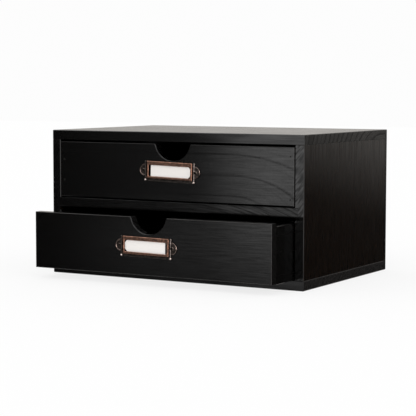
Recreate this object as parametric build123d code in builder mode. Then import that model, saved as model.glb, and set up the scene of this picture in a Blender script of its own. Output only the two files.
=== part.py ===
from build123d import *

import os

# A two-drawer desktop cabinet in lacquered wood, with stamped metal label holders.
# Millimetres. X runs to the right, Y to the back and Z up. The origin is the middle of
# the cabinet's underside. The upper drawer is shut and the lower one stands part open.

os.makedirs("parts", exist_ok=True)

# ---- Driving dimensions --------------------------------------------------------------

# Cabinet
CABINET_WIDTH = 360.0
CABINET_DEPTH = 243.0  # with the back panel
CABINET_HEIGHT = 184.0
BOARD = 12.0  # top, bottom and side boards
SHELF = 12.0  # divider between the two bays
SHELF_HOUSING = 4.0  # depth of the housing in each side that takes the shelf
HOUSING_PLAY = 0.1  # over the shelf and at each of its ends
BACK_PANEL = 5.0  # pinned over the back edges of the boards

# Softened edges
BOARD_ARRIS = 0.7  # bevel of the cabinet's outer edges
JOINT_ARRIS = 0.4  # bevel of edges that meet another board
ARRIS = 1.0  # rounding of the drawers' edges and the shelf's front

# Drawer boxes
LOWER_DRAWER_OPENING = 56.0
DRAWER_FRONT = 12.0
DRAWER_SIDE = 10.0
DRAWER_BACK = 8.0
DRAWER_BOTTOM = 4.0
SIDE_GAP = 1.0  # between a drawer and the bay's wall
TOP_GAP = 2.6  # over a drawer front
FRONT_LIFT = 1.2  # under a drawer front
RUN_GAP = 0.3  # under the drawer sides, which run on the bay's floor
REAR_GAP = 1.5  # behind a shut drawer
SIDE_DROP = 3.0  # how much lower the sides and back stand than the front
GROOVE_DEPTH = 4.0  # grooves that carry the bottom sheet
GROOVE_LIFT = 5.0  # under the groove
GROOVE_PLAY = 0.2  # over the bottom sheet and at its edges

# Finger notch in the top edge of a drawer front
NOTCH_RADIUS = 25.0
NOTCH_RISE = 4.4  # the notch's centre stands this far above the top edge
NOTCH_LIP = 2.0  # rounding where the notch meets the top edge

# Square brads and pins, without heads
BRAD_WIDTH = 1.3
BRAD_TIP = 2.0
BRAD_TIP_TAPER = 12.0
BRAD_PLAY = 0.05
BRAD_COVER = 1.0  # filler over a hidden brad, or how deep an open one is set
CARCASS_BRAD = 34.0
CARCASS_BRAD_INSET = 28.0
FRONT_BRAD = 32.0
FRONT_BRADS_FROM_FOOT = {"left": 21.6, "right": 8.0}  # above the front's lower edge
FRONT_BRADS_FROM_TOP = {"left": 22.5, "right": 11.3}  # below the front's upper edge
BACK_BRAD = 25.0
BACK_BRAD_INSET = 14.0
BACK_PIN = 15.0
BACK_PIN_SET = 0.3
BACK_PIN_INSET = 40.0
BOTTOM_PIN = 14.0
BOTTOM_PIN_SPACING = 100.0

# Stamped label holder: plate, raised frame, columns and ears
HOLDER_SHIFTS = {"upper": -3.7, "lower": -3.0}  # from the notch's middle
HOLDER_HEIGHTS = {"upper": 35.7, "lower": 34.0}  # middle above the front's lower edge
HOLDER_TILTS = {"upper": 1.5, "lower": 0.8}  # degrees, as set by hand, right end down
SHEET = 0.8
FRAME_WIDTH = 64.6
WINDOW_WIDTH = 60.0
WINDOW_HEIGHT = 13.9
FRAME_HEAD = 4.7  # frame over the window
FRAME_FOOT = 2.7  # frame under the window
UPPER_LIP = 0.3  # plate over and under the frame
LOWER_LIP = 3.5
POCKET = 1.5  # room for the card behind the raised frame
FRAME_BEVEL = 0.45
COLUMN_GAP = 1.4  # between the frame and a column
COLUMN_RADIUS = 1.1
BEAD_RADIUS = 1.5  # domed stud at each end of a column
BEAD_FACETS = 12
BEAD_HEIGHT = 1.4  # of its straight side
BEAD_INSET = 1.3  # of its middle from the plate's edge
BEAD_DOME = 1.0
BEAD_DOME_TAPER = 38.0
EAR_RADIUS = 7.3
EAR_RISE = 1.0  # of an ear's middle above the plate's
EAR_RIM = 1.3
EAR_RIM_RISE = 0.7
EAR_RIM_BEVEL = 0.3
EAR_REACH = 7.4  # of an ear beyond its column

# Round-head screws with a cross recess
SCREW_REACH = 1.3  # of a screw's axis beyond the column
SCREW_SEAT_RADIUS = 2.1  # column cut back round a screw's head
SCREW_HEAD_RADIUS = 1.9
SCREW_HEAD_HEIGHT = 1.3
SCREW_CROWN_RADIUS = 1.0  # flat top of the round head
SCREW_BRIM = 0.35  # height of the head's straight side
SCREW_SHANK_RADIUS = 1.1
SCREW_LENGTH = 9.0  # under the head
SCREW_POINT = 2.0
SCREW_PLAY = 0.1
PILOT_PLAY = 0.05
PILOT_OVERDEPTH = 0.5
RECESS_LENGTH = 2.0
RECESS_WIDTH = 0.5
RECESS_DEPTH = 0.7

# Paper card
CARD_LENGTH = 57.0
CARD_HEIGHT = 17.8
CARD_THICKNESS = 0.5
CARD_CLIP = 5.2  # clipped corners at one end
CARD_PLAY = 0.05  # over the raised frame's lower wall
CARD_SHIFTS = {"upper": 1.2, "lower": -1.4}  # from the holder's middle

# ---- Places worked out from them ------------------------------------------------------

half_width = CABINET_WIDTH / 2
front_y = -CABINET_DEPTH / 2
back_y = CABINET_DEPTH / 2
board_back_y = back_y - BACK_PANEL
board_depth = board_back_y - front_y
board_mid_y = (front_y + board_back_y) / 2
bay_wall_x = half_width - BOARD
side_mid_x = half_width - BOARD / 2
bay_height = (CABINET_HEIGHT - 2 * BOARD - SHELF) / 2
shelf_z = BOARD + bay_height
bay_floors = {"lower": BOARD, "upper": shelf_z + SHELF}
brad_hole = BRAD_WIDTH + 2 * BRAD_PLAY
brad_rows_y = (front_y + CARCASS_BRAD_INSET, board_mid_y, board_back_y - CARCASS_BRAD_INSET)

drawer_half_width = bay_wall_x - SIDE_GAP
drawer_inner_x = drawer_half_width - DRAWER_SIDE
drawer_side_mid_x = drawer_half_width - DRAWER_SIDE / 2
side_length = board_depth - DRAWER_FRONT - REAR_GAP
front_height = bay_height - TOP_GAP - FRONT_LIFT
front_brad_heights = {
    hand: (FRONT_BRADS_FROM_FOOT[hand], front_height - FRONT_BRADS_FROM_TOP[hand])
    for hand in ("left", "right")
}
side_height = FRONT_LIFT + front_height - SIDE_DROP - RUN_GAP
groove_height = DRAWER_BOTTOM + GROOVE_PLAY
groove_half_width = drawer_inner_x + GROOVE_DEPTH
back_height = side_height - GROOVE_LIFT - DRAWER_BOTTOM

frame_front = POCKET + SHEET
frame_height = FRAME_HEAD + WINDOW_HEIGHT + FRAME_FOOT
plate_height = UPPER_LIP + frame_height + LOWER_LIP
frame_z = (LOWER_LIP - UPPER_LIP) / 2  # heights from the plate's middle
window_z = frame_z + (FRAME_FOOT - FRAME_HEAD) / 2
pocket_height = frame_height - 2 * SHEET
column_x = FRAME_WIDTH / 2 + COLUMN_GAP + COLUMN_RADIUS
plate_half_width = column_x + COLUMN_RADIUS
ear_x = plate_half_width + EAR_REACH - EAR_RADIUS
bead_z = plate_height / 2 - BEAD_INSET
screw_x = plate_half_width + SCREW_REACH
screw_points = [(-screw_x, EAR_RISE), (screw_x, EAR_RISE)]


def keep(piece, name):
    """Label a finished piece and write it."""
    piece.part.label = name
    export_step(piece.part, f"parts/{name}.step")


def bore(plane, points, radius, depth):
    """Cut round holes in the part being built, from the plane against its normal."""
    with BuildSketch(plane) as holes:
        with Locations(*points):
            Circle(radius)
    extrude(holes.sketch, amount=-depth, mode=Mode.SUBTRACT)


def pierce(plane, points, depth):
    """Cut brad holes in the part being built, from the plane against its normal."""
    with BuildSketch(plane) as holes:
        with Locations(*points):
            Rectangle(brad_hole, brad_hole)
    extrude(holes.sketch, amount=-depth, mode=Mode.SUBTRACT)


def drive(plane, points, length):
    """Add brads to the part being built, their tops on the plane and their tips below."""
    shank = length - BRAD_TIP
    with BuildSketch(plane) as tops:
        with Locations(*points):
            Rectangle(BRAD_WIDTH, BRAD_WIDTH)
    extrude(tops.sketch, amount=-shank)
    with BuildSketch(plane.offset(-shank)) as tips:
        with Locations(*points):
            Rectangle(BRAD_WIDTH, BRAD_WIDTH)
    extrude(tips.sketch, amount=-BRAD_TIP, taper=BRAD_TIP_TAPER)


# ---- Cabinet ---------------------------------------------------------------------------

carcass_brad_points = [(x, y) for x in (-side_mid_x, side_mid_x) for y in brad_rows_y]
back_pin_xs = (-half_width + BACK_PIN_INSET, 0, half_width - BACK_PIN_INSET)
back_pin_zs = (BOARD + bay_height / 2, shelf_z + SHELF + bay_height / 2)
level_pin_zs = (BOARD / 2, shelf_z + SHELF / 2, CABINET_HEIGHT - BOARD / 2)

# Top board: lies on the side panels. The holes for its brads stop short of the top face.
with BuildPart() as top_panel:
    with BuildSketch(Plane.XY.offset(CABINET_HEIGHT - BOARD)):
        with Locations((0, board_mid_y)):
            Rectangle(CABINET_WIDTH, board_depth)
    extrude(amount=BOARD)
    chamfer(top_panel.edges().filter_by(Axis.Z), BOARD_ARRIS)
    chamfer(top_panel.faces().sort_by(Axis.Z)[-1].edges(), BOARD_ARRIS)
    chamfer(top_panel.faces().sort_by(Axis.Z)[0].edges(), JOINT_ARRIS)
    under_top = Plane.XY.offset(CABINET_HEIGHT - BOARD)
    pierce(under_top, carcass_brad_points, -(BOARD - BRAD_COVER))
    pierce(
        Plane.XZ.offset(-board_back_y),
        [(x, CABINET_HEIGHT - BOARD / 2) for x in back_pin_xs],
        -(BACK_PIN - BACK_PANEL + BRAD_PLAY),
    )
keep(top_panel, "top_panel")

# Bottom board: the side panels stand on it.
with BuildPart() as bottom_panel:
    with BuildSketch(Plane.XY):
        with Locations((0, board_mid_y)):
            Rectangle(CABINET_WIDTH, board_depth)
    extrude(amount=BOARD)
    chamfer(bottom_panel.edges().filter_by(Axis.Z), BOARD_ARRIS)
    chamfer(bottom_panel.faces().sort_by(Axis.Z)[0].edges(), BOARD_ARRIS)
    chamfer(bottom_panel.faces().sort_by(Axis.Z)[-1].edges(), JOINT_ARRIS)
    pierce(Plane.XY.offset(BOARD), carcass_brad_points, BOARD - BRAD_COVER)
    pierce(
        Plane.XZ.offset(-board_back_y),
        [(x, BOARD / 2) for x in back_pin_xs],
        -(BACK_PIN - BACK_PANEL + BRAD_PLAY),
    )
keep(bottom_panel, "bottom_panel")


def side_panel(name, outward):
    """Side board between top and bottom, with a through housing for the shelf."""
    height = CABINET_HEIGHT - 2 * BOARD
    brad_reach = CARCASS_BRAD - (BOARD - BRAD_COVER) + BRAD_PLAY
    brads = [(outward * side_mid_x, y) for y in brad_rows_y]
    with BuildPart() as panel:
        with BuildSketch(Plane.YZ.offset(outward * side_mid_x)):
            with Locations((board_mid_y, BOARD + height / 2)):
                Rectangle(board_depth, height)
        extrude(amount=BOARD / 2, both=True)
        chamfer(panel.edges().filter_by(Axis.Z), BOARD_ARRIS)
        chamfer(panel.faces().sort_by(Axis.Z)[-1].edges(), JOINT_ARRIS)
        chamfer(panel.faces().sort_by(Axis.Z)[0].edges(), JOINT_ARRIS)
        housing_height = SHELF + HOUSING_PLAY
        with BuildSketch(Plane.YZ.offset(outward * bay_wall_x)):
            with Locations((board_mid_y, shelf_z + housing_height / 2)):
                Rectangle(board_depth, housing_height)
        extrude(amount=outward * SHELF_HOUSING, mode=Mode.SUBTRACT)
        pierce(Plane.XY.offset(CABINET_HEIGHT - BOARD), brads, brad_reach)
        pierce(Plane.XY.offset(BOARD), brads, -brad_reach)
        pierce(
            Plane.XZ.offset(-board_back_y),
            [(outward * side_mid_x, z) for z in back_pin_zs],
            -(BACK_PIN - BACK_PANEL + BRAD_PLAY),
        )
    keep(panel, name)


side_panel("left_side_panel", -1)
side_panel("right_side_panel", 1)

# Divider shelf: its ends sit in the housings.
with BuildPart() as divider_shelf:
    with BuildSketch(Plane.XY.offset(shelf_z)):
        with Locations((0, board_mid_y)):
            Rectangle(2 * (bay_wall_x + SHELF_HOUSING - HOUSING_PLAY), board_depth)
    extrude(amount=SHELF)
    fillet(divider_shelf.faces().sort_by(Axis.Y)[0].edges().filter_by(Axis.X), ARRIS)
    pierce(
        Plane.XZ.offset(-board_back_y),
        [(x, shelf_z + SHELF / 2) for x in back_pin_xs],
        -(BACK_PIN - BACK_PANEL + BRAD_PLAY),
    )
keep(divider_shelf, "divider_shelf")

# Back panel: a sheet over the back edges of all the boards.
back_pin_points = [(x, z) for x in back_pin_xs for z in level_pin_zs]
back_pin_points += [(x, z) for x in (-side_mid_x, side_mid_x) for z in back_pin_zs]

with BuildPart() as back_panel:
    with BuildSketch(Plane.XZ.offset(-board_back_y)):
        with Locations((0, CABINET_HEIGHT / 2)):
            Rectangle(CABINET_WIDTH, CABINET_HEIGHT)
    extrude(amount=-BACK_PANEL)
    chamfer(back_panel.edges().filter_by(Axis.Y), BOARD_ARRIS)
    chamfer(back_panel.faces().sort_by(Axis.Y)[-1].edges(), JOINT_ARRIS)
    pierce(Plane.XZ.offset(-board_back_y), back_pin_points, BACK_PANEL)
keep(back_panel, "back_panel")

with BuildPart() as carcass_brads:
    drive(Plane.XY.offset(CABINET_HEIGHT - BRAD_COVER), carcass_brad_points, CARCASS_BRAD)
    drive(
        Plane(origin=(0, 0, BRAD_COVER), x_dir=(1, 0, 0), z_dir=(0, 0, -1)),
        [(x, -y) for x, y in carcass_brad_points],
        CARCASS_BRAD,
    )
keep(carcass_brads, "carcass_brads")

with BuildPart() as back_panel_pins:
    drive(
        Plane(origin=(0, back_y - BACK_PIN_SET, 0), x_dir=(-1, 0, 0), z_dir=(0, 1, 0)),
        [(-x, z) for x, z in back_pin_points],
        BACK_PIN - BACK_PIN_SET,
    )
keep(back_panel_pins, "back_panel_pins")


# ---- Drawers ---------------------------------------------------------------------------


def notched_front(prefix, face_y, floor_z, seat, open_brads):
    """Front board with the finger notch, the bottom's groove and holes for its fixings."""
    face = Plane.XZ.offset(-face_y)
    inner_face = Plane.XZ.offset(-(face_y + DRAWER_FRONT))
    low_z = floor_z + FRONT_LIFT
    top_z = low_z + front_height
    groove_z = floor_z + RUN_GAP + GROOVE_LIFT
    brads = [(-drawer_side_mid_x, low_z + h) for h in front_brad_heights["left"]]
    brads += [(drawer_side_mid_x, low_z + h) for h in front_brad_heights["right"]]
    with BuildPart() as front:
        with BuildSketch(face) as outline:
            with Locations((0, low_z + front_height / 2)):
                Rectangle(2 * drawer_half_width, front_height)
            with Locations((0, top_z + NOTCH_RISE)):
                Circle(NOTCH_RADIUS, mode=Mode.SUBTRACT)
            notch_corners = outline.vertices().filter_by_position(Axis.X, -NOTCH_RADIUS, NOTCH_RADIUS)
            fillet(notch_corners, NOTCH_LIP)
        extrude(amount=-DRAWER_FRONT)
        fillet(front.faces().sort_by(Axis.Y)[0].edges(), ARRIS)
        chamfer(front.faces().sort_by(Axis.Y)[-1].edges(), JOINT_ARRIS)
        with BuildSketch(inner_face):
            with Locations((0, groove_z + groove_height / 2)):
                Rectangle(2 * groove_half_width, groove_height)
        extrude(amount=GROOVE_DEPTH, mode=Mode.SUBTRACT)
        brad_depth = DRAWER_FRONT if open_brads else DRAWER_FRONT - BRAD_COVER
        pierce(inner_face, brads, -brad_depth)
        pilot_depth = SCREW_LENGTH - SHEET + PILOT_OVERDEPTH
        bore(seat, screw_points, SCREW_SHANK_RADIUS + PILOT_PLAY, pilot_depth)
    keep(front, f"{prefix}_drawer_front")


def drawer_side(prefix, hand, outward, face_y, floor_z):
    """Drawer side: runs on the bay's floor and carries the bottom sheet in its groove."""
    front_end_y = face_y + DRAWER_FRONT
    low_z = floor_z + RUN_GAP
    mid_y = front_end_y + side_length / 2
    heights = front_brad_heights[hand]
    front_brads = [(outward * drawer_side_mid_x, floor_z + FRONT_LIFT + h) for h in heights]
    back_mid_y = front_end_y + side_length - DRAWER_BACK / 2
    low_brad_z = low_z + GROOVE_LIFT + DRAWER_BOTTOM + BACK_BRAD_INSET
    high_brad_z = low_z + side_height - BACK_BRAD_INSET
    with BuildPart() as side:
        with BuildSketch(Plane.YZ.offset(outward * drawer_side_mid_x)):
            with Locations((mid_y, low_z + side_height / 2)):
                Rectangle(side_length, side_height)
        extrude(amount=DRAWER_SIDE / 2, both=True)
        fillet(side.faces().sort_by(Axis.Z)[-1].edges().filter_by(Axis.Y), ARRIS)
        chamfer(side.faces().sort_by(Axis.Z)[0].edges().filter_by(Axis.Y), JOINT_ARRIS)
        with BuildSketch(Plane.YZ.offset(outward * drawer_inner_x)):
            with Locations((mid_y, low_z + GROOVE_LIFT + groove_height / 2)):
                Rectangle(side_length, groove_height)
        extrude(amount=outward * GROOVE_DEPTH, mode=Mode.SUBTRACT)
        front_reach = FRONT_BRAD - (DRAWER_FRONT - BRAD_COVER) + BRAD_PLAY
        pierce(Plane.XZ.offset(-front_end_y), front_brads, front_reach)
        pierce(
            Plane.YZ.offset(outward * drawer_inner_x),
            [(back_mid_y, low_brad_z), (back_mid_y, high_brad_z)],
            -outward * (DRAWER_SIDE - BRAD_COVER),
        )
    keep(side, f"{prefix}_drawer_{hand}_side")


def drawer_back(prefix, face_y, floor_z):
    """Drawer back: between the sides, standing on the bottom sheet."""
    rear_y = face_y + DRAWER_FRONT + side_length
    low_z = floor_z + RUN_GAP + GROOVE_LIFT + DRAWER_BOTTOM
    back_mid_y = rear_y - DRAWER_BACK / 2
    low_brad_z = low_z + BACK_BRAD_INSET
    high_brad_z = low_z + back_height - BACK_BRAD_INSET
    end_reach = BACK_BRAD - (DRAWER_SIDE - BRAD_COVER) + BRAD_PLAY
    end_holes = [(back_mid_y, low_brad_z), (back_mid_y, high_brad_z)]
    pins = [(x, back_mid_y) for x in (-BOTTOM_PIN_SPACING, 0, BOTTOM_PIN_SPACING)]
    with BuildPart() as back:
        with BuildSketch(Plane.XZ.offset(-rear_y)):
            with Locations((0, low_z + back_height / 2)):
                Rectangle(2 * drawer_inner_x, back_height)
        extrude(amount=DRAWER_BACK)
        fillet(back.faces().sort_by(Axis.Z)[-1].edges().filter_by(Axis.X), ARRIS)
        pierce(Plane.YZ.offset(drawer_inner_x), end_holes, end_reach)
        pierce(Plane.YZ.offset(-drawer_inner_x), end_holes, -end_reach)
        pierce(Plane.XY.offset(low_z), pins, -(BOTTOM_PIN - DRAWER_BOTTOM + BRAD_PLAY))
    keep(back, f"{prefix}_drawer_back")


def drawer_bottom(prefix, face_y, floor_z):
    """Bottom sheet: in the grooves of the front and sides, and under the back."""
    front_edge_y = face_y + DRAWER_FRONT - GROOVE_DEPTH + GROOVE_PLAY
    rear_y = face_y + DRAWER_FRONT + side_length
    low_z = floor_z + RUN_GAP + GROOVE_LIFT
    back_mid_y = rear_y - DRAWER_BACK / 2
    pins = [(x, back_mid_y) for x in (-BOTTOM_PIN_SPACING, 0, BOTTOM_PIN_SPACING)]
    with BuildPart() as bottom:
        with BuildSketch(Plane.XY.offset(low_z)):
            with Locations((0, (front_edge_y + rear_y) / 2)):
                Rectangle(2 * (groove_half_width - GROOVE_PLAY), rear_y - front_edge_y)
        extrude(amount=DRAWER_BOTTOM)
        pierce(Plane.XY.offset(low_z), pins, -DRAWER_BOTTOM)
    keep(bottom, f"{prefix}_drawer_bottom")


def drawer_fixings(prefix, face_y, floor_z):
    """Brads through the front and the sides, and pins up through the bottom sheet."""
    low_z = floor_z + FRONT_LIFT
    rear_y = face_y + DRAWER_FRONT + side_length
    sheet_z = floor_z + RUN_GAP + GROOVE_LIFT
    back_mid_y = rear_y - DRAWER_BACK / 2
    low_brad_z = sheet_z + DRAWER_BOTTOM + BACK_BRAD_INSET
    high_brad_z = floor_z + RUN_GAP + side_height - BACK_BRAD_INSET
    front_brads = [(-drawer_side_mid_x, low_z + h) for h in front_brad_heights["left"]]
    front_brads += [(drawer_side_mid_x, low_z + h) for h in front_brad_heights["right"]]
    set_x = drawer_half_width - BRAD_COVER
    with BuildPart() as brads:
        drive(Plane.XZ.offset(-(face_y + BRAD_COVER)), front_brads, FRONT_BRAD)
        for outward in (-1, 1):
            drive(
                Plane(origin=(outward * set_x, 0, 0), x_dir=(0, outward, 0), z_dir=(outward, 0, 0)),
                [(outward * back_mid_y, low_brad_z), (outward * back_mid_y, high_brad_z)],
                BACK_BRAD,
            )
    keep(brads, f"{prefix}_drawer_brads")

    under_sheet = Plane(origin=(0, back_mid_y, sheet_z), x_dir=(1, 0, 0), z_dir=(0, 0, -1))
    with BuildPart() as pins:
        drive(under_sheet, [(x, 0) for x in (-BOTTOM_PIN_SPACING, 0, BOTTOM_PIN_SPACING)], BOTTOM_PIN)
    keep(pins, f"{prefix}_drawer_bottom_pins")


def label_holder(prefix, seat):
    """Stamped holder on the drawer's face: the seat is that face at the plate's middle."""
    with BuildPart() as holder:
        # Plate with its two ears
        with BuildSketch(seat):
            Rectangle(2 * plate_half_width, plate_height)
            with Locations((-ear_x, EAR_RISE), (ear_x, EAR_RISE)):
                Circle(EAR_RADIUS)
        extrude(amount=SHEET)
        # Raised frame round the window
        with BuildSketch(seat):
            with Locations((0, frame_z)):
                Rectangle(FRAME_WIDTH, frame_height)
        extrude(amount=frame_front)
        with BuildSketch(seat.offset(frame_front)):
            with Locations((0, window_z)):
                Rectangle(WINDOW_WIDTH, WINDOW_HEIGHT)
        extrude(amount=-frame_front, mode=Mode.SUBTRACT)
        chamfer(holder.faces().sort_by(Axis.Y)[0].edges(), FRAME_BEVEL)
        # Pocket behind the frame, open at its ends, with a wall above and below the card
        with BuildSketch(seat):
            with Locations((0, frame_z)):
                Rectangle(FRAME_WIDTH + 2 * COLUMN_GAP, pocket_height)
        extrude(amount=POCKET, mode=Mode.SUBTRACT)
        # Raised rims of the two ears, outside the columns
        with BuildSketch(seat):
            with Locations((-ear_x, EAR_RISE), (ear_x, EAR_RISE)):
                Circle(EAR_RADIUS)
                Circle(EAR_RADIUS - EAR_RIM, mode=Mode.SUBTRACT)
            Rectangle(2 * column_x, plate_height, mode=Mode.SUBTRACT)
        extrude(amount=SHEET + EAR_RIM_RISE)
        rim_y = seat.origin.Y - SHEET - EAR_RIM_RISE
        rims = holder.faces().filter_by(Axis.Y).filter_by_position(Axis.Y, rim_y - 0.01, rim_y + 0.01)
        chamfer(rims.edges().filter_by(GeomType.CIRCLE), EAR_RIM_BEVEL)
        # Half-round columns, cut back round the screws' heads
        foot = seat.from_local_coords((0, -bead_z, 0))
        with BuildSketch(Plane(origin=foot, x_dir=seat.x_dir, z_dir=seat.y_dir)):
            with Locations((-column_x, -COLUMN_RADIUS), (column_x, -COLUMN_RADIUS)):
                Circle(COLUMN_RADIUS)
        extrude(amount=2 * bead_z)
        split(bisect_by=seat, keep=Keep.TOP)
        bore(seat.offset(frame_front), screw_points, SCREW_SEAT_RADIUS, POCKET)
        bore(seat.offset(SHEET), screw_points, SCREW_SHANK_RADIUS + SCREW_PLAY, SHEET)
        # Domed bead at each end of a column
        bead_places = GridLocations(2 * column_x, 2 * bead_z, 2, 2)
        with BuildSketch(seat) as beads:
            with bead_places:
                RegularPolygon(BEAD_RADIUS, BEAD_FACETS)
        extrude(beads.sketch, amount=BEAD_HEIGHT)
        with BuildSketch(seat.offset(BEAD_HEIGHT)) as domes:
            with bead_places:
                RegularPolygon(BEAD_RADIUS, BEAD_FACETS)
        extrude(domes.sketch, amount=BEAD_DOME, taper=BEAD_DOME_TAPER)
    keep(holder, f"{prefix}_label_holder")


def label_screws(prefix, seat):
    """Two round-head screws with a cross recess, their heads on the ears."""
    with BuildPart() as screws:
        for point in screw_points:
            head = seat.from_local_coords((*point, SHEET))
            with BuildSketch(Plane(origin=head, x_dir=(1, 0, 0), z_dir=(0, 0, 1))) as profile:
                with BuildLine():
                    shank_end = SCREW_LENGTH - SCREW_POINT
                    Polyline(
                        (0, -SCREW_HEAD_HEIGHT),
                        (SCREW_CROWN_RADIUS, -SCREW_HEAD_HEIGHT),
                        (SCREW_HEAD_RADIUS, -SCREW_BRIM),
                        (SCREW_HEAD_RADIUS, 0),
                        (SCREW_SHANK_RADIUS, 0),
                        (SCREW_SHANK_RADIUS, shank_end),
                        (0, SCREW_LENGTH),
                        close=True,
                    )
                make_face()
            revolve(profile.sketch, axis=Axis(head, (0, 1, 0)))
        with BuildSketch(seat.offset(SHEET + SCREW_HEAD_HEIGHT)) as crosses:
            with Locations(*screw_points):
                Rectangle(RECESS_LENGTH, RECESS_WIDTH)
                Rectangle(RECESS_WIDTH, RECESS_LENGTH)
        extrude(crosses.sketch, amount=-RECESS_DEPTH, mode=Mode.SUBTRACT)
    keep(screws, f"{prefix}_label_screws")


def label_card(prefix, seat):
    """Paper card behind the raised frame, standing on its lower wall."""
    shift = CARD_SHIFTS[prefix]
    rest_z = frame_z - pocket_height / 2 + CARD_PLAY
    with BuildPart() as card:
        with BuildSketch(seat) as outline:
            with Locations((shift, rest_z + CARD_HEIGHT / 2)):
                Rectangle(CARD_LENGTH, CARD_HEIGHT)
            ends = outline.vertices().group_by(Axis.X)
            chamfer(ends[-1] if shift > 0 else ends[0], CARD_CLIP)
        extrude(amount=CARD_THICKNESS)
    keep(card, f"{prefix}_label_card")


for prefix, opening in (("upper", 0.0), ("lower", LOWER_DRAWER_OPENING)):
    face_y = front_y - opening
    floor_z = bay_floors[prefix]
    holder_z = floor_z + FRONT_LIFT + HOLDER_HEIGHTS[prefix]
    holder_middle = (HOLDER_SHIFTS[prefix], face_y, holder_z)
    level = Vector(1, 0, 0)
    seat = Plane(holder_middle, x_dir=level.rotate(Axis.Y, HOLDER_TILTS[prefix]), z_dir=(0, -1, 0))
    notched_front(prefix, face_y, floor_z, seat, open_brads=prefix == "upper")
    drawer_side(prefix, "left", -1, face_y, floor_z)
    drawer_side(prefix, "right", 1, face_y, floor_z)
    drawer_back(prefix, face_y, floor_z)
    drawer_bottom(prefix, face_y, floor_z)
    drawer_fixings(prefix, face_y, floor_z)
    label_holder(prefix, seat)
    label_screws(prefix, seat)
    label_card(prefix, seat)
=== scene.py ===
"""Studio scene of the two-drawer desktop cabinet: black lacquered wood, stamped label holders."""

import math

import bpy
from mathutils import Matrix, Vector


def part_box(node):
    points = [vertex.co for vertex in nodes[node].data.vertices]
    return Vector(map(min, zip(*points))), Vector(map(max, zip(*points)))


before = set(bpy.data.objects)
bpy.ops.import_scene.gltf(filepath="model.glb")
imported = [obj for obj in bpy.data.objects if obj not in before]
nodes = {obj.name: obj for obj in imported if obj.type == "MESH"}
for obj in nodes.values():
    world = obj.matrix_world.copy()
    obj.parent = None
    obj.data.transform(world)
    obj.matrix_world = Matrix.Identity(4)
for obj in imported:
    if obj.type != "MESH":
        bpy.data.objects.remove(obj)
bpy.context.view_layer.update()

MM = 0.001

# ---- Camera: at the photograph's viewing angle ------------------------------------------

FRAME_PX = 416
FOCAL_PX = 1488.3
SENSOR_MM = 36.0
CAMERA_PLACE = (948.96 * MM, -1679.58 * MM, 244.39 * MM)
CAMERA_YAW = math.radians(29.97)
CAMERA_PITCH = math.radians(4.81)
CAMERA_ROLL = math.radians(0.07)


def make_camera():
    """Camera turned to the left by the yaw, down by the pitch and about its view by the roll."""
    ahead = Vector((
        -math.sin(CAMERA_YAW) * math.cos(CAMERA_PITCH),
        math.cos(CAMERA_YAW) * math.cos(CAMERA_PITCH),
        -math.sin(CAMERA_PITCH),
    ))
    right = Vector((math.cos(CAMERA_YAW), math.sin(CAMERA_YAW), 0))
    up = right.cross(ahead)
    turned_right = right * math.cos(CAMERA_ROLL) + up * math.sin(CAMERA_ROLL)
    turned_up = up * math.cos(CAMERA_ROLL) - right * math.sin(CAMERA_ROLL)
    data = bpy.data.cameras.new("camera")
    data.sensor_width = SENSOR_MM
    data.lens = SENSOR_MM * FOCAL_PX / FRAME_PX
    camera = bpy.data.objects.new("camera", data)
    turn = Matrix((turned_right, turned_up, -ahead)).transposed()
    camera.matrix_world = Matrix.Translation(CAMERA_PLACE) @ turn.to_4x4()
    bpy.context.scene.collection.objects.link(camera)
    bpy.context.scene.camera = camera


# ---- Node helpers ------------------------------------------------------------------------


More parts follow.
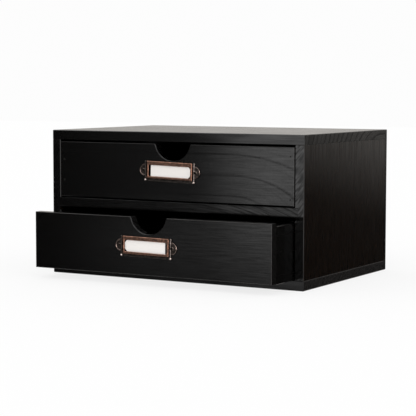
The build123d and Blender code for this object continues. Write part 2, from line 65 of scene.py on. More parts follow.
class Graph:
    """A node tree being wired, with short calls for the nodes that this scene uses."""

    def __init__(self, tree):
        self.tree = tree

    def node(self, kind, **settings):
        made = self.tree.nodes.new(kind)
        for name, value in settings.items():
            setattr(made, name, value)
        return made

    def feed(self, socket, value):
        """Link an output to a socket, or set a plain value on it."""
        if isinstance(value, bpy.types.NodeSocket):
            self.tree.links.new(value, socket)
        else:
            socket.default_value = value

    def math(self, operation, first, second=0.0, clamp=False):
        made = self.node("ShaderNodeMath", operation=operation, use_clamp=clamp)
        self.feed(made.inputs[0], first)
        self.feed(made.inputs[1], second)
        return made.outputs[0]

    def fold(self, operation, values):
        """Join values by one operation, from the first to the last."""
        joined = values[0]
        for value in values[1:]:
            joined = self.math(operation, joined, value)
        return joined

    def times(self, *values):
        return self.fold("MULTIPLY", values)

    def plus(self, *values):
        return self.fold("ADD", values)

    def most(self, *values):
        return self.fold("MAXIMUM", values)

    def minus(self, first, second, clamp=False):
        return self.math("SUBTRACT", first, second, clamp)

    def size(self, value):
        return self.math("ABSOLUTE", value)

    def ramp(self, value, low, high, to_low=0.0, to_high=1.0, smooth=True):
        """Map a value from low..high to to_low..to_high, clamped."""
        kind = "SMOOTHSTEP" if smooth else "LINEAR"
        made = self.node("ShaderNodeMapRange", interpolation_type=kind)
        self.feed(made.inputs["Value"], value)
        self.feed(made.inputs["From Min"], low)
        self.feed(made.inputs["From Max"], high)
        self.feed(made.inputs["To Min"], to_low)
        self.feed(made.inputs["To Max"], to_high)
        return made.outputs["Result"]

    def mix(self, factor, first, second, kind="RGBA"):
        """Mix two colours, or two numbers where kind is FLOAT."""
        made = self.node("ShaderNodeMix", data_type=kind)
        self.feed(made.inputs["Factor"], factor)
        self.feed(made.inputs["A"], first)
        self.feed(made.inputs["B"], second)
        return made.outputs["Result"]

    def noise(self, vector, scale, detail=2.0, roughness=0.5):
        made = self.node("ShaderNodeTexNoise")
        self.feed(made.inputs["Vector"], vector)
        self.feed(made.inputs["Scale"], scale)
        self.feed(made.inputs["Detail"], detail)
        self.feed(made.inputs["Roughness"], roughness)
        return made.outputs["Fac"]

    def stretch(self, vector, scale, rotation=(0, 0, 0)):
        """A vector scaled along the axes and then rotated."""
        made = self.node("ShaderNodeMapping")
        self.feed(made.inputs["Vector"], vector)
        self.feed(made.inputs["Rotation"], rotation)
        self.feed(made.inputs["Scale"], scale)
        return made.outputs["Vector"]

    def vector(self, operation, first, second=None):
        made = self.node("ShaderNodeVectorMath", operation=operation)
        self.feed(made.inputs[0], first)
        if second is not None:
            self.feed(made.inputs[1], second)
        return made.outputs

    def split(self, vector):
        """The X, Y and Z outputs of a vector."""
        made = self.node("ShaderNodeSeparateXYZ")
        self.feed(made.inputs[0], vector)
        return made.outputs

    def join(self, x, y, z=0.0):
        made = self.node("ShaderNodeCombineXYZ")
        for socket, value in zip(made.inputs, (x, y, z)):
            self.feed(socket, value)
        return made.outputs[0]

    def relief(self, shader, height, strength, distance):
        """Bump from a height, on a shader's Normal."""
        made = self.node("ShaderNodeBump")
        self.feed(made.inputs["Height"], height)
        self.feed(made.inputs["Strength"], strength)
        self.feed(made.inputs["Distance"], distance)
        self.feed(shader.inputs["Normal"], made.outputs[0])


NUMBER = "NodeSocketFloat"
VECTOR = "NodeSocketVector"


def new_group(name, inputs, outputs):
    """An empty shader node group: (graph, input node, output node).

    inputs are (socket name, kind, default), and outputs are names of numbers.
    """
    tree = bpy.data.node_groups.new(name, "ShaderNodeTree")
    for socket, kind, value in inputs:
        made = tree.interface.new_socket(socket, in_out="INPUT", socket_type=kind)
        if value is not None:
            made.default_value = value
    for socket in outputs:
        tree.interface.new_socket(socket, in_out="OUTPUT", socket_type=NUMBER)
    graph = Graph(tree)
    return graph, graph.node("NodeGroupInput"), graph.node("NodeGroupOutput")


def placed_group(graph, tree, **values):
    """A group placed in a material, with an underscore for each space in a socket's name."""
    made = graph.node("ShaderNodeGroup", node_tree=tree)
    for name, value in values.items():
        graph.feed(made.inputs[name.replace("_", " ")], value)
    return made.outputs


def new_material(name):
    """A material with its parts: (material, graph, Principled BSDF, texture coordinates)."""
    material = bpy.data.materials.new(name)
    material.use_nodes = True
    graph = Graph(material.node_tree)
    shader = material.node_tree.nodes["Principled BSDF"]
    return material, graph, shader, graph.node("ShaderNodeTexCoord")


# ---- Stage: pale floor and a studio of soft light ----------------------------------------

WHITE = 0.98
FLOOR_HALF = 6.0
FLOOR_GLOW = 0.82  # how much of the floor's whiteness is free of shadow
# Luminance of the studio as the lacquer reflects it
DARK = 0.013
FRONT_LIGHT = 1.9
FRONT_SPILL = 0.16
LOW_SPILL = 0.55
BACKDROP = 0.5
OVERHEAD = 2.0
FLOOR_SHEEN = 0.42
WARM_BACKDROP = (1.04, 1.0, 0.95, 1)
# Luminance of the studio as dull surfaces gather it, and how much more comes from the front
FILL = 1.0
FRONT_FILL = 0.3
FILL_TURNS = (0.2, -0.9)  # Y of the directions between which it grows

# Where the lights begin and are full. Azimuths, in degrees to the right of straight in front:
FRONT_LIGHT_LEFT = (-30.7, -27.4)
FRONT_LIGHT_RIGHT = (110.0, 65.0)
SPILL_LEFT = (-37.0, -29.5)
LOW_SPILL_LEFT = (-36.5, -31.0)
LOW_SPILL_RIGHT = (-27.5, -31.0)
# Elevations, in degrees:
FRONT_LIGHT_FOOT = (-11.0, -2.0)
FRONT_LIGHT_HEAD = (40.0, 22.0)
LOW_SPILL_HEAD = (-3.8, -6.5)
BACKDROP_FOOT = (-5.1, -0.4)
OVERHEAD_FOOT = (35.0, 60.0)
FLOOR_SHEEN_HEAD = (-9.5, -22.0)
# Y of the directions:
BEHIND = (-0.1, 0.3)
# The backdrop's foot slopes by this many degrees for each degree of azimuth, up to the end one
BACKDROP_SLOPE = 0.27
BACKDROP_SLOPE_MIDDLE = 155.5
BACKDROP_SLOPE_END = 165.0


def make_floor():
    """Floor that the camera sees nearly white, with a faint shadow, and that the gloss skips."""
    mesh = bpy.data.meshes.new("floor")
    corners = [(x * FLOOR_HALF, y * FLOOR_HALF, 0) for x, y in ((-1, -1), (1, -1), (1, 1), (-1, 1))]
    mesh.from_pydata(corners, [], [(0, 1, 2, 3)])
    floor = bpy.data.objects.new("floor", mesh)
    bpy.context.scene.collection.objects.link(floor)
    material = bpy.data.materials.new("pale_floor")
    material.use_nodes = True
    graph = Graph(material.node_tree)
    shader = material.node_tree.nodes["Principled BSDF"]
    shader.inputs["Base Color"].default_value = (WHITE, WHITE, WHITE, 1)
    shader.inputs["Roughness"].default_value = 1.0
    shader.inputs["Specular IOR Level"].default_value = 0.0
    glow = graph.node("ShaderNodeEmission")
    graph.feed(glow.inputs["Strength"], WHITE)
    path = graph.node("ShaderNodeLightPath")
    blend = graph.node("ShaderNodeMixShader")
    graph.feed(blend.inputs[0], graph.times(path.outputs["Is Camera Ray"], FLOOR_GLOW))
    graph.feed(blend.inputs[1], shader.outputs[0])
    graph.feed(blend.inputs[2], glow.outputs[0])
    graph.feed(material.node_tree.nodes["Material Output"].inputs["Surface"], blend.outputs[0])
    mesh.materials.append(material)
    floor.visible_glossy = False


def studio_lights(graph, x, y, z):
    """What a gloss surface sees in each direction, and how far behind that direction is."""
    azimuth = graph.math("DEGREES", graph.math("ARCTAN2", x, graph.times(y, -1.0)))
    elevation = graph.math("DEGREES", graph.math("ARCSINE", z))
    behind = graph.ramp(y, *BEHIND)

    # Wide soft light in front; its left edge falls off fast, with a faint spill beyond
    edge = graph.times(graph.ramp(azimuth, *FRONT_LIGHT_LEFT), FRONT_LIGHT)
    spill = graph.times(graph.ramp(azimuth, *SPILL_LEFT), FRONT_SPILL)
    low_spill = graph.times(
        graph.ramp(azimuth, *LOW_SPILL_LEFT),
        graph.ramp(azimuth, *LOW_SPILL_RIGHT),
        graph.ramp(elevation, *LOW_SPILL_HEAD),
        LOW_SPILL,
    )
    front = graph.times(
        graph.plus(edge, spill, low_spill),
        graph.ramp(azimuth, *FRONT_LIGHT_RIGHT),
        graph.ramp(elevation, *FRONT_LIGHT_FOOT),
        graph.ramp(elevation, *FRONT_LIGHT_HEAD),
    )

    # Pale backdrop behind, whose foot slopes down towards the middle
    aside = graph.math("MINIMUM", graph.size(azimuth), BACKDROP_SLOPE_END)
    slope = graph.times(graph.minus(aside, BACKDROP_SLOPE_MIDDLE), BACKDROP_SLOPE)
    height = graph.plus(elevation, slope)
    backdrop = graph.times(behind, graph.ramp(height, *BACKDROP_FOOT), BACKDROP)

    overhead = graph.times(graph.ramp(elevation, *OVERHEAD_FOOT), OVERHEAD)
    sheen = graph.times(graph.ramp(elevation, *FLOOR_SHEEN_HEAD), FLOOR_SHEEN)
    return graph.plus(graph.most(front, backdrop, overhead, sheen), DARK), behind


def make_world():
    """White behind the object, plain light all round, and soft lights that the gloss shows."""
    world = bpy.data.worlds.new("studio")
    bpy.context.scene.world = world
    world.use_nodes = True
    world.cycles.sampling_method = "NONE"
    tree = world.node_tree
    tree.nodes.clear()
    graph = Graph(tree)
    x, y, z = graph.split(graph.node("ShaderNodeTexCoord").outputs["Generated"])
    path = graph.node("ShaderNodeLightPath").outputs
    fill = graph.ramp(y, *FILL_TURNS, FILL, FILL + FRONT_FILL)
    lights, behind = studio_lights(graph, x, y, z)
    level = graph.mix(path["Is Glossy Ray"], fill, lights, kind="FLOAT")
    seen = graph.mix(path["Is Camera Ray"], level, WHITE, kind="FLOAT")
    warm = graph.times(behind, path["Is Glossy Ray"])
    background = graph.node("ShaderNodeBackground")
    graph.feed(background.inputs["Color"], graph.mix(warm, (1, 1, 1, 1), WARM_BACKDROP))
    graph.feed(background.inputs["Strength"], seen)
    output = graph.node("ShaderNodeOutputWorld")
    graph.feed(output.inputs["Surface"], background.outputs[0])


# ---- Shared effects ----------------------------------------------------------------------

# Rings: the share of their bow before the crown, how their lines drift, the weak lines between
# them and the patches in which they fade. ALONG says how much of a pattern's fineness across
# the board is left along it
OTHER_SIDE = 0.12
DRIFT_PER_M = 24.0
DRIFT_ALONG = 0.25
WEAK_LINES = 3.0  # for each ring
WEAK_WIDTH = 0.3
WEAK_SHARE = 0.18
PATCHES_PER_M = 60.0
PATCH_ALONG = 0.3
PATCH_WINDOW = (0.25, 0.6)
FADED = 0.35
# Fibres and streaks
FIBRES_PER_M = 850.0
FIBRE_ALONG = 0.03
STREAK_ALONG = 0.05
STREAK_DETAIL = 2.5
GRAIN_ROUGHNESS = 0.6


def wood_figure_group():
    """Growth rings that bow about a crown, dark at each ring, with fibres and streaks along X."""
    graph, given, result = new_group(
        "wood_figure",
        [
            ("Vector", VECTOR, None),
            ("Crown", VECTOR, (0, 0, 0)),
            ("Bow", NUMBER, 0.1),
            ("Period", NUMBER, 0.008),
            ("Wander", NUMBER, 0.3),
            ("Phase", NUMBER, 0.0),
            ("Line Width", NUMBER, 0.09),
            ("Streak Scale", NUMBER, 300.0),
        ],
        ["Rings", "Fibres", "Streaks"],
    )
    given = given.outputs
    place = given["Vector"]
    along, across, up = graph.split(graph.vector("SUBTRACT", place, given["Crown"])[0])
    past = graph.most(along, 0.0)
    before = graph.times(graph.math("MINIMUM", along, 0.0), OTHER_SIDE)
    run = graph.times(graph.plus(past, before), given["Bow"])
    reach = graph.vector("LENGTH", graph.join(run, across, up))["Value"]
    count = graph.math("DIVIDE", reach, given["Period"])
    drift = graph.noise(graph.stretch(place, (DRIFT_ALONG, 1, 1)), DRIFT_PER_M, detail=3.0)
    drift = graph.times(graph.minus(drift, 0.5), given["Wander"])
    turn = graph.plus(count, given["Phase"], drift)

    def ring_lines(turns, width):
        """1 on each ring line, fading over width of the ring's period."""
        part = graph.size(graph.minus(graph.math("FRACT", turns), 0.5))
        return graph.ramp(part, graph.minus(0.5, width), 0.5)

    strong = ring_lines(turn, given["Line Width"])
    weak = graph.times(ring_lines(graph.times(turn, WEAK_LINES), WEAK_WIDTH), WEAK_SHARE)
    patch = graph.noise(graph.stretch(place, (PATCH_ALONG, 1, 1)), PATCHES_PER_M)
    kept = graph.ramp(patch, *PATCH_WINDOW, FADED, 1.0)
    graph.feed(result.inputs["Rings"], graph.times(graph.most(strong, weak), kept))

    fine = graph.stretch(place, (FIBRE_ALONG, 1, 1))
    fibres = graph.noise(fine, FIBRES_PER_M, detail=3.0, roughness=GRAIN_ROUGHNESS)
    graph.feed(result.inputs["Fibres"], fibres)
    follow = graph.join(
        graph.times(graph.split(place)[0], STREAK_ALONG), graph.times(turn, given["Period"])
    )
    streaks = graph.noise(follow, given["Streak Scale"], STREAK_DETAIL, GRAIN_ROUGHNESS)
    graph.feed(result.inputs["Streaks"], streaks)
    return graph.tree


WORN_WINDOW = (0.42, 0.66)
WORN_DETAIL = 4.0
WORN_ROUGHNESS = 0.65
PITS_FINER = 5.0  # than the worn patches


def rub_marks_group():
    """Blotchy wear: a mask of worn patches, and fine pits."""
    graph, given, result = new_group(
        "rub_marks", [("Vector", VECTOR, None), ("Scale", NUMBER, 300.0)], ["Worn", "Pits"]
    )
    place, scale = given.outputs["Vector"], given.outputs["Scale"]
    patches = graph.noise(place, scale, WORN_DETAIL, WORN_ROUGHNESS)
    graph.feed(result.inputs["Worn"], graph.ramp(patches, *WORN_WINDOW))
    graph.feed(result.inputs["Pits"], graph.noise(place, graph.times(scale, PITS_FINER)))
    return graph.tree


# Places on a label holder, in mm from its middle
FRAME_HALF_X = 32.3
FRAME_HALF_Z = 10.65
FRAME_Z = 1.6
FRAME_BLUR = 0.15
# Width and blur of the band round the raised frame where its shadow is painted
CREASE = 1.1
CREASE_BLUR = 0.4
LIP_BLUR = 0.2
EAR_ROOT_X = 36.0
EAR_BLUR = 0.3
LEFT_BLUR = 1.0
SCREW_X = 37.2
SCREW_Z = 1.0
BEAD_X = 34.8
BEAD_Z = -11.25
BEAD_RADII = (1.6, 1.2)
HOLDER_TURNS = {"upper": math.radians(1.5), "lower": math.radians(0.8)}


def holder_places_group():
    """Where a point lies on a label holder, turned as the holder is.

    Masks of what is outside the raised frame, of the crease round it where the frame's shadow is
    painted, of the left half, the ears, the lip and the lower beads, and the distance from the
    nearer screw in mm.
    """
    graph, given, result = new_group(
        "holder_places",
        [("Vector", VECTOR, None), ("Middle", VECTOR, (0, 0, 0)), ("Turn", VECTOR, (0, 0, 0))],
        ["Outside", "Crease Shadow", "Left", "Ears", "Lip", "Beads", "From Screw"],
    )
    away = graph.vector("SUBTRACT", given.outputs["Vector"], given.outputs["Middle"])[0]
    turned = graph.stretch(away, (1 / MM, 1 / MM, 1 / MM), given.outputs["Turn"])
    along, _, level = graph.split(turned)
    aside = graph.size(along)

    def distance(centre_x, centre_z):
        across = graph.math("POWER", graph.minus(aside, centre_x), 2.0)
        up = graph.math("POWER", graph.minus(level, centre_z), 2.0)
        return graph.math("SQRT", graph.plus(across, up))

    past_side = graph.minus(aside, FRAME_HALF_X)
    past_end = graph.minus(graph.size(graph.minus(level, FRAME_Z)), FRAME_HALF_Z)
    past = graph.most(past_side, past_end)
    outside = graph.ramp(past, 0.0, FRAME_BLUR)
    masks = {
        "Outside": outside,
        "Crease Shadow": graph.times(outside, graph.ramp(past, CREASE + CREASE_BLUR, CREASE)),
        "Left": graph.ramp(along, LEFT_BLUR, -LEFT_BLUR),
        "Ears": graph.ramp(aside, EAR_ROOT_X, EAR_ROOT_X + EAR_BLUR),
        "Lip": graph.times(outside, graph.ramp(aside, FRAME_HALF_X + LIP_BLUR, FRAME_HALF_X)),
        "Beads": graph.ramp(distance(BEAD_X, BEAD_Z), *BEAD_RADII),
        "From Screw": distance(SCREW_X, SCREW_Z),
    }
    for name, mask in masks.items():
        graph.feed(result.inputs[name], mask)
    return graph.tree


wood_figure = wood_figure_group()
rub_marks = rub_marks_group()
holder_places = holder_places_group()

# ---- Lacquered boards --------------------------------------------------------------------

TURN_TO_GRAIN = {
    "X": (0, 0, 0),
    "Y": (0, 0, math.radians(-90)),
    "Z": (0, math.radians(90), 0),
}
# Noise between these values runs from no effect to the whole one
FIBRE_WINDOW = (0.38, 0.62)
STREAK_WINDOW = (0.34, 0.66)
TOOTH_WINDOW = (0.35, 0.65)
SAW_WINDOW = (0.42, 0.58)
ARRIS_HIGHLIGHT_WINDOW = (0.3, 0.7)
TOOTH_PER_M = 1000.0
# Of a face's normal: its Y where it looks to the front, and its size along the grain on end grain
FRONT_FACE = (-0.8, -0.95)
FRONT_BEVEL = (-0.5, -0.7)
END_FACE = (0.8, 0.95)
END_DULL = 0.2
# Saw marks on a front edge: their slant, spacing and length, and how much grain they hide
SAW_TURN = math.radians(-40)
SAW_MARKS_PER_M = 560.0
SAW_ALONG = 0.12
SAW_HIDES = 0.8
# Painted highlight along the top and right arrises of a front
ARRIS_HIGHLIGHT_TONE = 0.055  # how much lighter the painted arris highlight is than the stain
ARRIS_HIGHLIGHT_WIDTH = 0.7 * MM
ARRIS_HIGHLIGHT_CORE = 0.6  # share of the width at which the line is full
ARRIS_HIGHLIGHT_TOP = 0.35  # strength of the top line beside the right one's
ARRIS_HIGHLIGHT_BREAKS_PER_M = 90.0
ARRIS_HIGHLIGHT_LEAST = 0.35
# Stain under the film: linear luminance, in the clear film and where the film is fully dull
STAIN = 0.0015
CLEAR_STAIN = STAIN * 0.8
DULL_STAIN = STAIN * 1.5
FULLY_DULL = 0.9
WARMTH = 0.08  # how much more red than green the stain is, and half as much less blue
BLUE_LOSS = 0.5
# Gloss of the stained board, which grows rough with the grain, and of the film
BOARD_DULL = (0.1, 0.7)
BOARD_ROUGHNESS = (0.16, 0.3)
BOARD_SPECULAR = 0.03
FILM_WEIGHT = (1.0, 0.2)  # clear, dull
FILM_ROUGHNESS = 0.06
FILM_IOR = 1.5
GRAIN_STRENGTH = 0.25
GRAIN_DEPTH = 0.2 * MM


def saw_marked(graph, dull, place, facing, hatch):
    """Slanting saw marks in place of most of the grain, on faces that look to the front."""
    turned = graph.stretch(place, (1, 1, 1), (0, SAW_TURN, 0))
    slanting = graph.stretch(turned, (1, 1, SAW_ALONG))
    saw = graph.ramp(graph.noise(slanting, SAW_MARKS_PER_M, detail=1.0), *SAW_WINDOW)
    on_front = graph.ramp(facing["Y"], *FRONT_FACE)
    left = graph.minus(1.0, graph.times(on_front, SAW_HIDES))
    return graph.plus(graph.times(dull, left), graph.times(saw, on_front, hatch))


def painted_arris_highlights(graph, place, facing, far_corner):
    """Painted highlight: a lighter line along the top and right arrises of a front, broken
    unevenly.
    """
    along, _, up = graph.split(place)

    def line(value, end):
        return graph.ramp(value, end - ARRIS_HIGHLIGHT_WIDTH, end - ARRIS_HIGHLIGHT_WIDTH * ARRIS_HIGHLIGHT_CORE)

    lines = graph.most(
        graph.times(line(up, far_corner[2]), ARRIS_HIGHLIGHT_TOP), line(along, far_corner[0])
    )
    uneven = graph.ramp(graph.noise(place, ARRIS_HIGHLIGHT_BREAKS_PER_M), *ARRIS_HIGHLIGHT_WINDOW, ARRIS_HIGHLIGHT_LEAST, 1.0)
    return graph.times(lines, uneven, graph.ramp(facing["Y"], *FRONT_BEVEL), ARRIS_HIGHLIGHT_TONE)


def filled_hole(graph, place, point, radius, brightness):
    """Lighter dot of filler over a hole."""
    reach = graph.vector("DISTANCE", place, point)["Value"]
    return graph.ramp(reach, radius, radius * 0.5, 0.0, brightness)


def stain_colour(graph, tone, facing, painted_warm_cast):
    """Stain of a tone, with a painted warm cast of light on the faces that don't look to the front.
    """
    warm = graph.ramp(facing["Y"], FRONT_FACE[1], FRONT_FACE[0], WARMTH, painted_warm_cast)
    colour = graph.node("ShaderNodeCombineColor")
    graph.feed(colour.inputs[0], graph.times(tone, graph.plus(1.0, warm)))
    graph.feed(colour.inputs[1], tone)
    graph.feed(
        colour.inputs[2], graph.times(tone, graph.minus(1.0, graph.times(warm, BLUE_LOSS)))
    )
    return colour.outputs[0]


def black_lacquer(
    name, grain, crown, bow, period, wander=1.0, phase=0.0, width=0.09, streaks_per_m=300.0,
    ring=0.35, fibre=0.25, streak=0.3, tooth=0.0, hatch=0.0, end_ring=0.3, end_tone=0.0008,
    painted_warm_cast=WARMTH, marks=(), wear_and_highlight=None,
):
    """Clear film over black-stained board, thinner and duller where the grain shows through.

    crown, bow, period, wander, phase and width draw the rings in the board's own turn. ring,
    fibre, streak and tooth, which is the film's own fine roughness, say how much each dulls the
    film, hatch how much saw marks do on the front edge, and end_ring and end_tone what end grain
    adds. marks are (place, radius, brightness) of filled holes, and the last argument names the
    front whose top and right arrises get a painted highlight, a lighter line broken unevenly.
    """
    material, graph, shader, coordinates = new_material(name)
    place = coordinates.outputs["Object"]
    facing = graph.split(coordinates.outputs["Normal"])
    figure = placed_group(
        graph, wood_figure, Vector=graph.stretch(place, (1, 1, 1), TURN_TO_GRAIN[grain]),
        Crown=crown, Bow=bow, Period=period, Wander=wander, Phase=phase,
        Line_Width=width, Streak_Scale=streaks_per_m,
    )
    fibres = graph.ramp(figure["Fibres"], *FIBRE_WINDOW, smooth=False)
    streaks = graph.ramp(figure["Streaks"], *STREAK_WINDOW, smooth=False)
    dull = graph.plus(
        graph.times(figure["Rings"], ring), graph.times(fibres, fibre), graph.times(streaks, streak)
    )
    if tooth:
        fine = graph.noise(place, TOOTH_PER_M, detail=1.0)
        fine = graph.ramp(fine, *TOOTH_WINDOW, smooth=False)
        dull = graph.plus(dull, graph.times(fine, tooth))
    if hatch:
        dull = saw_marked(graph, dull, place, facing, hatch)
    end = graph.ramp(graph.size(facing[grain]), *END_FACE)
    end_rings = graph.times(end, figure["Rings"], end_ring)
    dull = graph.plus(dull, graph.plus(graph.times(end, END_DULL), end_rings))

    tone = graph.ramp(dull, 0.0, FULLY_DULL, CLEAR_STAIN, DULL_STAIN, smooth=False)
    tone = graph.plus(tone, graph.times(end, end_tone))
    for mark in marks:
        tone = graph.plus(tone, filled_hole(graph, place, *mark))
    # Painted highlight along the top and right arrises of the named front
    if wear_and_highlight:
        tone = graph.plus(tone, painted_arris_highlights(graph, place, facing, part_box(wear_and_highlight)[1]))
    graph.feed(shader.inputs["Base Color"], stain_colour(graph, tone, facing, painted_warm_cast))
    graph.feed(shader.inputs["Roughness"], graph.ramp(dull, *BOARD_DULL, *BOARD_ROUGHNESS))
    shader.inputs["IOR"].default_value = FILM_IOR
    shader.inputs["Specular IOR Level"].default_value = BOARD_SPECULAR
    film = graph.ramp(dull, 0.0, 1.0, *FILM_WEIGHT, smooth=False)
    graph.feed(shader.inputs["Coat Weight"], film)
    shader.inputs["Coat Roughness"].default_value = FILM_ROUGHNESS
    shader.inputs["Coat IOR"].default_value = FILM_IOR
    graph.relief(shader, dull, GRAIN_STRENGTH, GRAIN_DEPTH)
    return material


# ---- Metal and paper ---------------------------------------------------------------------

# Size of a face's normal along Y: on the holder's bevels it is below the flats' and above
# the edges'
BEVEL_BELOW = (0.985, 0.9)
BEVEL_ABOVE = (0.1, 0.4)
BEVEL_WEAR = (0.35, 0.9)
FLAT_WEAR = 0.22
BEAD_WEAR = 0.95
# How much of the wear the dark plate is spared: by shelter on the flats, and as painted shade
# on the left column and on the bevels that look up
COLUMN_SHELTER_AND_SHADE = (0.25, 0.92)  # right, left
FLAT_SHELTER = 0.75  # of the lip and the ears, whose bevels have none
BEVEL_SHARE = 0.5  # of a bevel, at which that shelter ends
UPWARD_SHADE = 0.55  # of the bevels that look up
UPWARD = (0.3, 0.6)  # Z of their normal
# Plate and bare copper, of the frame, of what is outside it and of the ears, and the
# near-black painted shadow in the crease round the frame
FRAME_PLATE = (0.085, 0.052, 0.040, 1)
OUTER_PLATE = (0.024, 0.021, 0.019, 1)
CREASE_SHADOW = (0.008, 0.007, 0.006, 1)
FRAME_COPPER = (0.92, 0.46, 0.31, 1)
OUTER_COPPER = (0.70, 0.58, 0.53, 1)
EAR_COPPER = (0.90, 0.66, 0.57, 1)
COPPER_ROUGHNESS = (0.33, 0.2)
COPPER_PATCHES_PER_M = 420.0
PIT_STRENGTH = 0.25
PIT_DEPTH = 0.1 * MM
# Screw heads, brads and pins
STEEL_PATCHES_PER_M = 700.0
SCREW_RECESS = (1.1, 1.6)  # mm from its middle
SCREW_WEAR = (0.5, 1.0)
SCREW_DARK = (0.012, 0.010, 0.009, 1)
SCREW_BRIGHT = (0.26, 0.21, 0.18, 1)
SCREW_ROUGHNESS = (0.5, 0.28)
BRAD_DARK = (0.004, 0.004, 0.004, 1)
BRAD_BRIGHT = (0.02, 0.02, 0.02, 1)
BRAD_ROUGHNESS = 0.5
# Label cards
PAPER_FIBRES_PER_M = 2200.0
PAPER_DARK = (0.80, 0.765, 0.735, 1)
PAPER_BRIGHT = (0.86, 0.83, 0.80, 1)
PAPER_GRAIN = 0.7
PAPER_ROUGHNESS = 0.85
PAPER_SPECULAR = 0.2
PAPER_STRENGTH = 0.2
PAPER_DEPTH = 0.1 * MM


def places_on_holder(graph, coordinates, drawer):
    lowest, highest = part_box(f"{drawer}_label_holder")
    return placed_group(
        graph, holder_places, Vector=coordinates.outputs["Object"],
        Middle=(lowest + highest) / 2, Turn=(0, -HOLDER_TURNS[drawer], 0),
    )


def rubbed_metal(name, patches_per_m):
    """A metal with its wear: (material, graph, shader, coordinates, rub marks)."""
    material, graph, shader, coordinates = new_material(name)
    shader.inputs["Metallic"].default_value = 1.0
    place = coordinates.outputs["Object"]
    marks = placed_group(graph, rub_marks, Vector=place, Scale=patches_per_m)
    return material, graph, shader, coordinates, marks


def kept_by_shelter_and_shade(graph, places, bevel, upward):
    """How much of the dark plate is kept: most on the left column and the top bevel, as painted
    shade, and on the flats, which the wear spares.
    """
    columns = graph.minus(places["Outside"], places["Lip"])
    columns = graph.minus(columns, places["Ears"], clamp=True)
    # Painted shade on the left column, which the raised frame shadows
    columns = graph.times(columns, graph.ramp(places["Left"], 0.0, 1.0, *COLUMN_SHELTER_AND_SHADE))
    flats = graph.ramp(bevel, 0.0, BEVEL_SHARE, FLAT_SHELTER, 0.0)
    lip = graph.times(places["Lip"], flats)
    ears = graph.times(places["Ears"], flats)
    # Painted shade on the bevels that look up
    top = graph.times(graph.ramp(upward, *UPWARD), UPWARD_SHADE)
    return graph.most(columns, lip, ears, top)


def antique_copper(drawer):
    """Dark plated sheet, rubbed back to copper on its bevels, beads and rims, with painted shade
    in the crease round the frame, on the left column and on the bevels that look up.
    """
    material, graph, shader, coordinates, marks = rubbed_metal(
        f"{drawer}_antique_copper", COPPER_PATCHES_PER_M
    )
    places = places_on_holder(graph, coordinates, drawer)
    facing = graph.split(coordinates.outputs["Normal"])
    flat = graph.size(facing["Y"])
    bevel = graph.times(graph.ramp(flat, *BEVEL_BELOW), graph.ramp(flat, *BEVEL_ABOVE))
    worn = graph.times(bevel, graph.ramp(marks["Worn"], 0.0, 1.0, *BEVEL_WEAR))
    worn = graph.most(worn, graph.times(marks["Worn"], FLAT_WEAR))
    # Dark plate kept where the wear is sheltered, and as painted shade
    kept = kept_by_shelter_and_shade(graph, places, bevel, facing["Z"])
    worn = graph.times(worn, graph.minus(1.0, kept))
    worn = graph.most(worn, graph.times(places["Beads"], BEAD_WEAR))
    plate = graph.mix(places["Outside"], FRAME_PLATE, OUTER_PLATE)
    # Painted shadow of the raised frame, near black, in the crease round it
    plate = graph.mix(places["Crease Shadow"], plate, CREASE_SHADOW)
    copper = graph.mix(places["Outside"], FRAME_COPPER, OUTER_COPPER)
    copper = graph.mix(places["Ears"], copper, EAR_COPPER)
    graph.feed(shader.inputs["Base Color"], graph.mix(worn, plate, copper))
    graph.feed(shader.inputs["Roughness"], graph.ramp(worn, 0.0, 1.0, *COPPER_ROUGHNESS))
    graph.relief(shader, marks["Pits"], PIT_STRENGTH, PIT_DEPTH)
    return material


def screw_metal(drawer):
    """Browned screw heads, rubbed on the brim and dark in the recess."""
    material, graph, shader, coordinates, marks = rubbed_metal(
        f"{drawer}_screw_steel", STEEL_PATCHES_PER_M
    )
    places = places_on_holder(graph, coordinates, drawer)
    brim = graph.ramp(places["From Screw"], *SCREW_RECESS)
    wear_and_highlight = graph.times(brim, graph.ramp(marks["Worn"], 0.0, 1.0, *SCREW_WEAR))
    graph.feed(shader.inputs["Base Color"], graph.mix(wear_and_highlight, SCREW_DARK, SCREW_BRIGHT))
    graph.feed(shader.inputs["Roughness"], graph.ramp(wear_and_highlight, 0.0, 1.0, *SCREW_ROUGHNESS))
    return material


def painted_steel():
    """Black-stained brads and pins with rubbed patches."""
    material, graph, shader, _, marks = rubbed_metal("painted_brads", STEEL_PATCHES_PER_M)
    graph.feed(shader.inputs["Base Color"], graph.mix(marks["Worn"], BRAD_DARK, BRAD_BRIGHT))
    shader.inputs["Roughness"].default_value = BRAD_ROUGHNESS
    return material


def card_paper():
    """White card with a faint fibre."""
    material, graph, shader, coordinates = new_material("card_paper")
    place = coordinates.outputs["Object"]
    fibre = graph.noise(place, PAPER_FIBRES_PER_M, detail=3.0, roughness=PAPER_GRAIN)
    graph.feed(shader.inputs["Base Color"], graph.mix(fibre, PAPER_DARK, PAPER_BRIGHT))
    shader.inputs["Roughness"].default_value = PAPER_ROUGHNESS
    shader.inputs["Specular IOR Level"].default_value = PAPER_SPECULAR
    graph.relief(shader, fibre, PAPER_STRENGTH, PAPER_DEPTH)
    return material


# ---- Finishes of the pieces --------------------------------------------------------------

NAIL_DOTS = [((-0.1619, -0.1215, z), 1.7 * MM, 0.02) for z in (0.1469, 0.1208)]
SIDE_SPECK = ((0.180, 0.0895, 0.0346), 1.6 * MM, 0.02)


def finish(node, material):
    """Give a CAD node its finish."""
    if not nodes[node].material_slots:
        nodes[node].data.materials.append(material)
    for slot in nodes[node].material_slots:
        slot.material = material


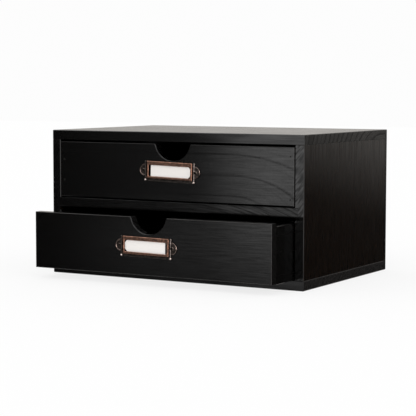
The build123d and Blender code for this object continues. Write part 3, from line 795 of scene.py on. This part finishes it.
def finish_cabinet():
    """Lacquer the boards of the cabinet."""
    top = black_lacquer(
        "lacquer_top_board", "X", crown=(0.0, 0.11, 0.08), bow=0.05, period=0.010, wander=0.8,
        width=0.2, ring=0.12, fibre=0.3, streak=0.35, end_ring=1.0, end_tone=0.003,
    )
    foot = black_lacquer(
        "lacquer_bottom_board", "X", crown=(0.0, 0.06, -0.05), bow=0.05, period=0.009,
        wander=0.8, end_tone=0.009,
    )
    # The side boards' faces that don't look to the front get a strong painted warm cast of light
    upright = black_lacquer(
        "lacquer_side_boards", "Z", crown=(0.0, -0.3, -0.1), bow=0.02, period=0.007, wander=1.6,
        streaks_per_m=420.0, ring=0.2, streak=0.5, hatch=0.7, painted_warm_cast=1.0, marks=[SIDE_SPECK],
    )
    shelf = black_lacquer(
        "lacquer_shelf", "X", crown=(0.02, -0.12, 0.0), bow=0.55, period=0.009, wander=0.8,
        streaks_per_m=430.0, streak=0.95,
    )
    sheet = black_lacquer(
        "lacquer_back_sheet", "X", crown=(0.0, 0.3, 0.02), bow=0.05, period=0.012
    )
    finish("top_panel", top)
    finish("bottom_panel", foot)
    finish("left_side_panel", upright)
    finish("right_side_panel", upright)
    finish("divider_shelf", shelf)
    finish("back_panel", sheet)


def finish_drawers():
    """Lacquer the drawers, with dark arcs on the upper front, and finish what they carry."""
    # Both fronts get a painted highlight along their top and right arrises
    arched = black_lacquer(
        "lacquer_upper_front", "X", crown=(0.082, -0.1215, 0.0723), bow=0.591, period=0.0248,
        wander=0.16, phase=0.508, streaks_per_m=520.0, ring=0.42, fibre=0.34, streak=0.1,
        tooth=0.22, marks=NAIL_DOTS, wear_and_highlight="upper_drawer_front",
    )
    straight = black_lacquer(
        "lacquer_lower_front", "X", crown=(0.0, -0.18, -0.3), bow=0.03, period=0.007, wander=1.4,
        streaks_per_m=620.0, ring=0.1, fibre=0.5, streak=0.12, tooth=0.22,
        wear_and_highlight="lower_drawer_front",
    )
    side = black_lacquer(
        "lacquer_drawer_sides", "Y", crown=(0.0, 0.2, -0.1), bow=0.05, period=0.009
    )
    back = black_lacquer(
        "lacquer_drawer_backs", "X", crown=(0.0, 0.15, -0.1), bow=0.05, period=0.009
    )
    sheet = black_lacquer(
        "lacquer_drawer_bottoms", "X", crown=(0.0, -0.3, 0.2), bow=0.05, period=0.012
    )
    paper = card_paper()
    for drawer, front in (("upper", arched), ("lower", straight)):
        finish(f"{drawer}_drawer_front", front)
        finish(f"{drawer}_drawer_left_side", side)
        finish(f"{drawer}_drawer_right_side", side)
        finish(f"{drawer}_drawer_back", back)
        finish(f"{drawer}_drawer_bottom", sheet)
        finish(f"{drawer}_label_holder", antique_copper(drawer))
        finish(f"{drawer}_label_screws", screw_metal(drawer))
        finish(f"{drawer}_label_card", paper)


def finish_brads():
    """Finish every node of brads or pins."""
    steel = painted_steel()
    for node in nodes:
        if node.endswith(("brads", "pins")):
            finish(node, steel)


make_camera()
make_floor()
make_world()
finish_cabinet()
finish_drawers()
finish_brads()

scene = bpy.context.scene
scene.view_settings.view_transform = "Standard"
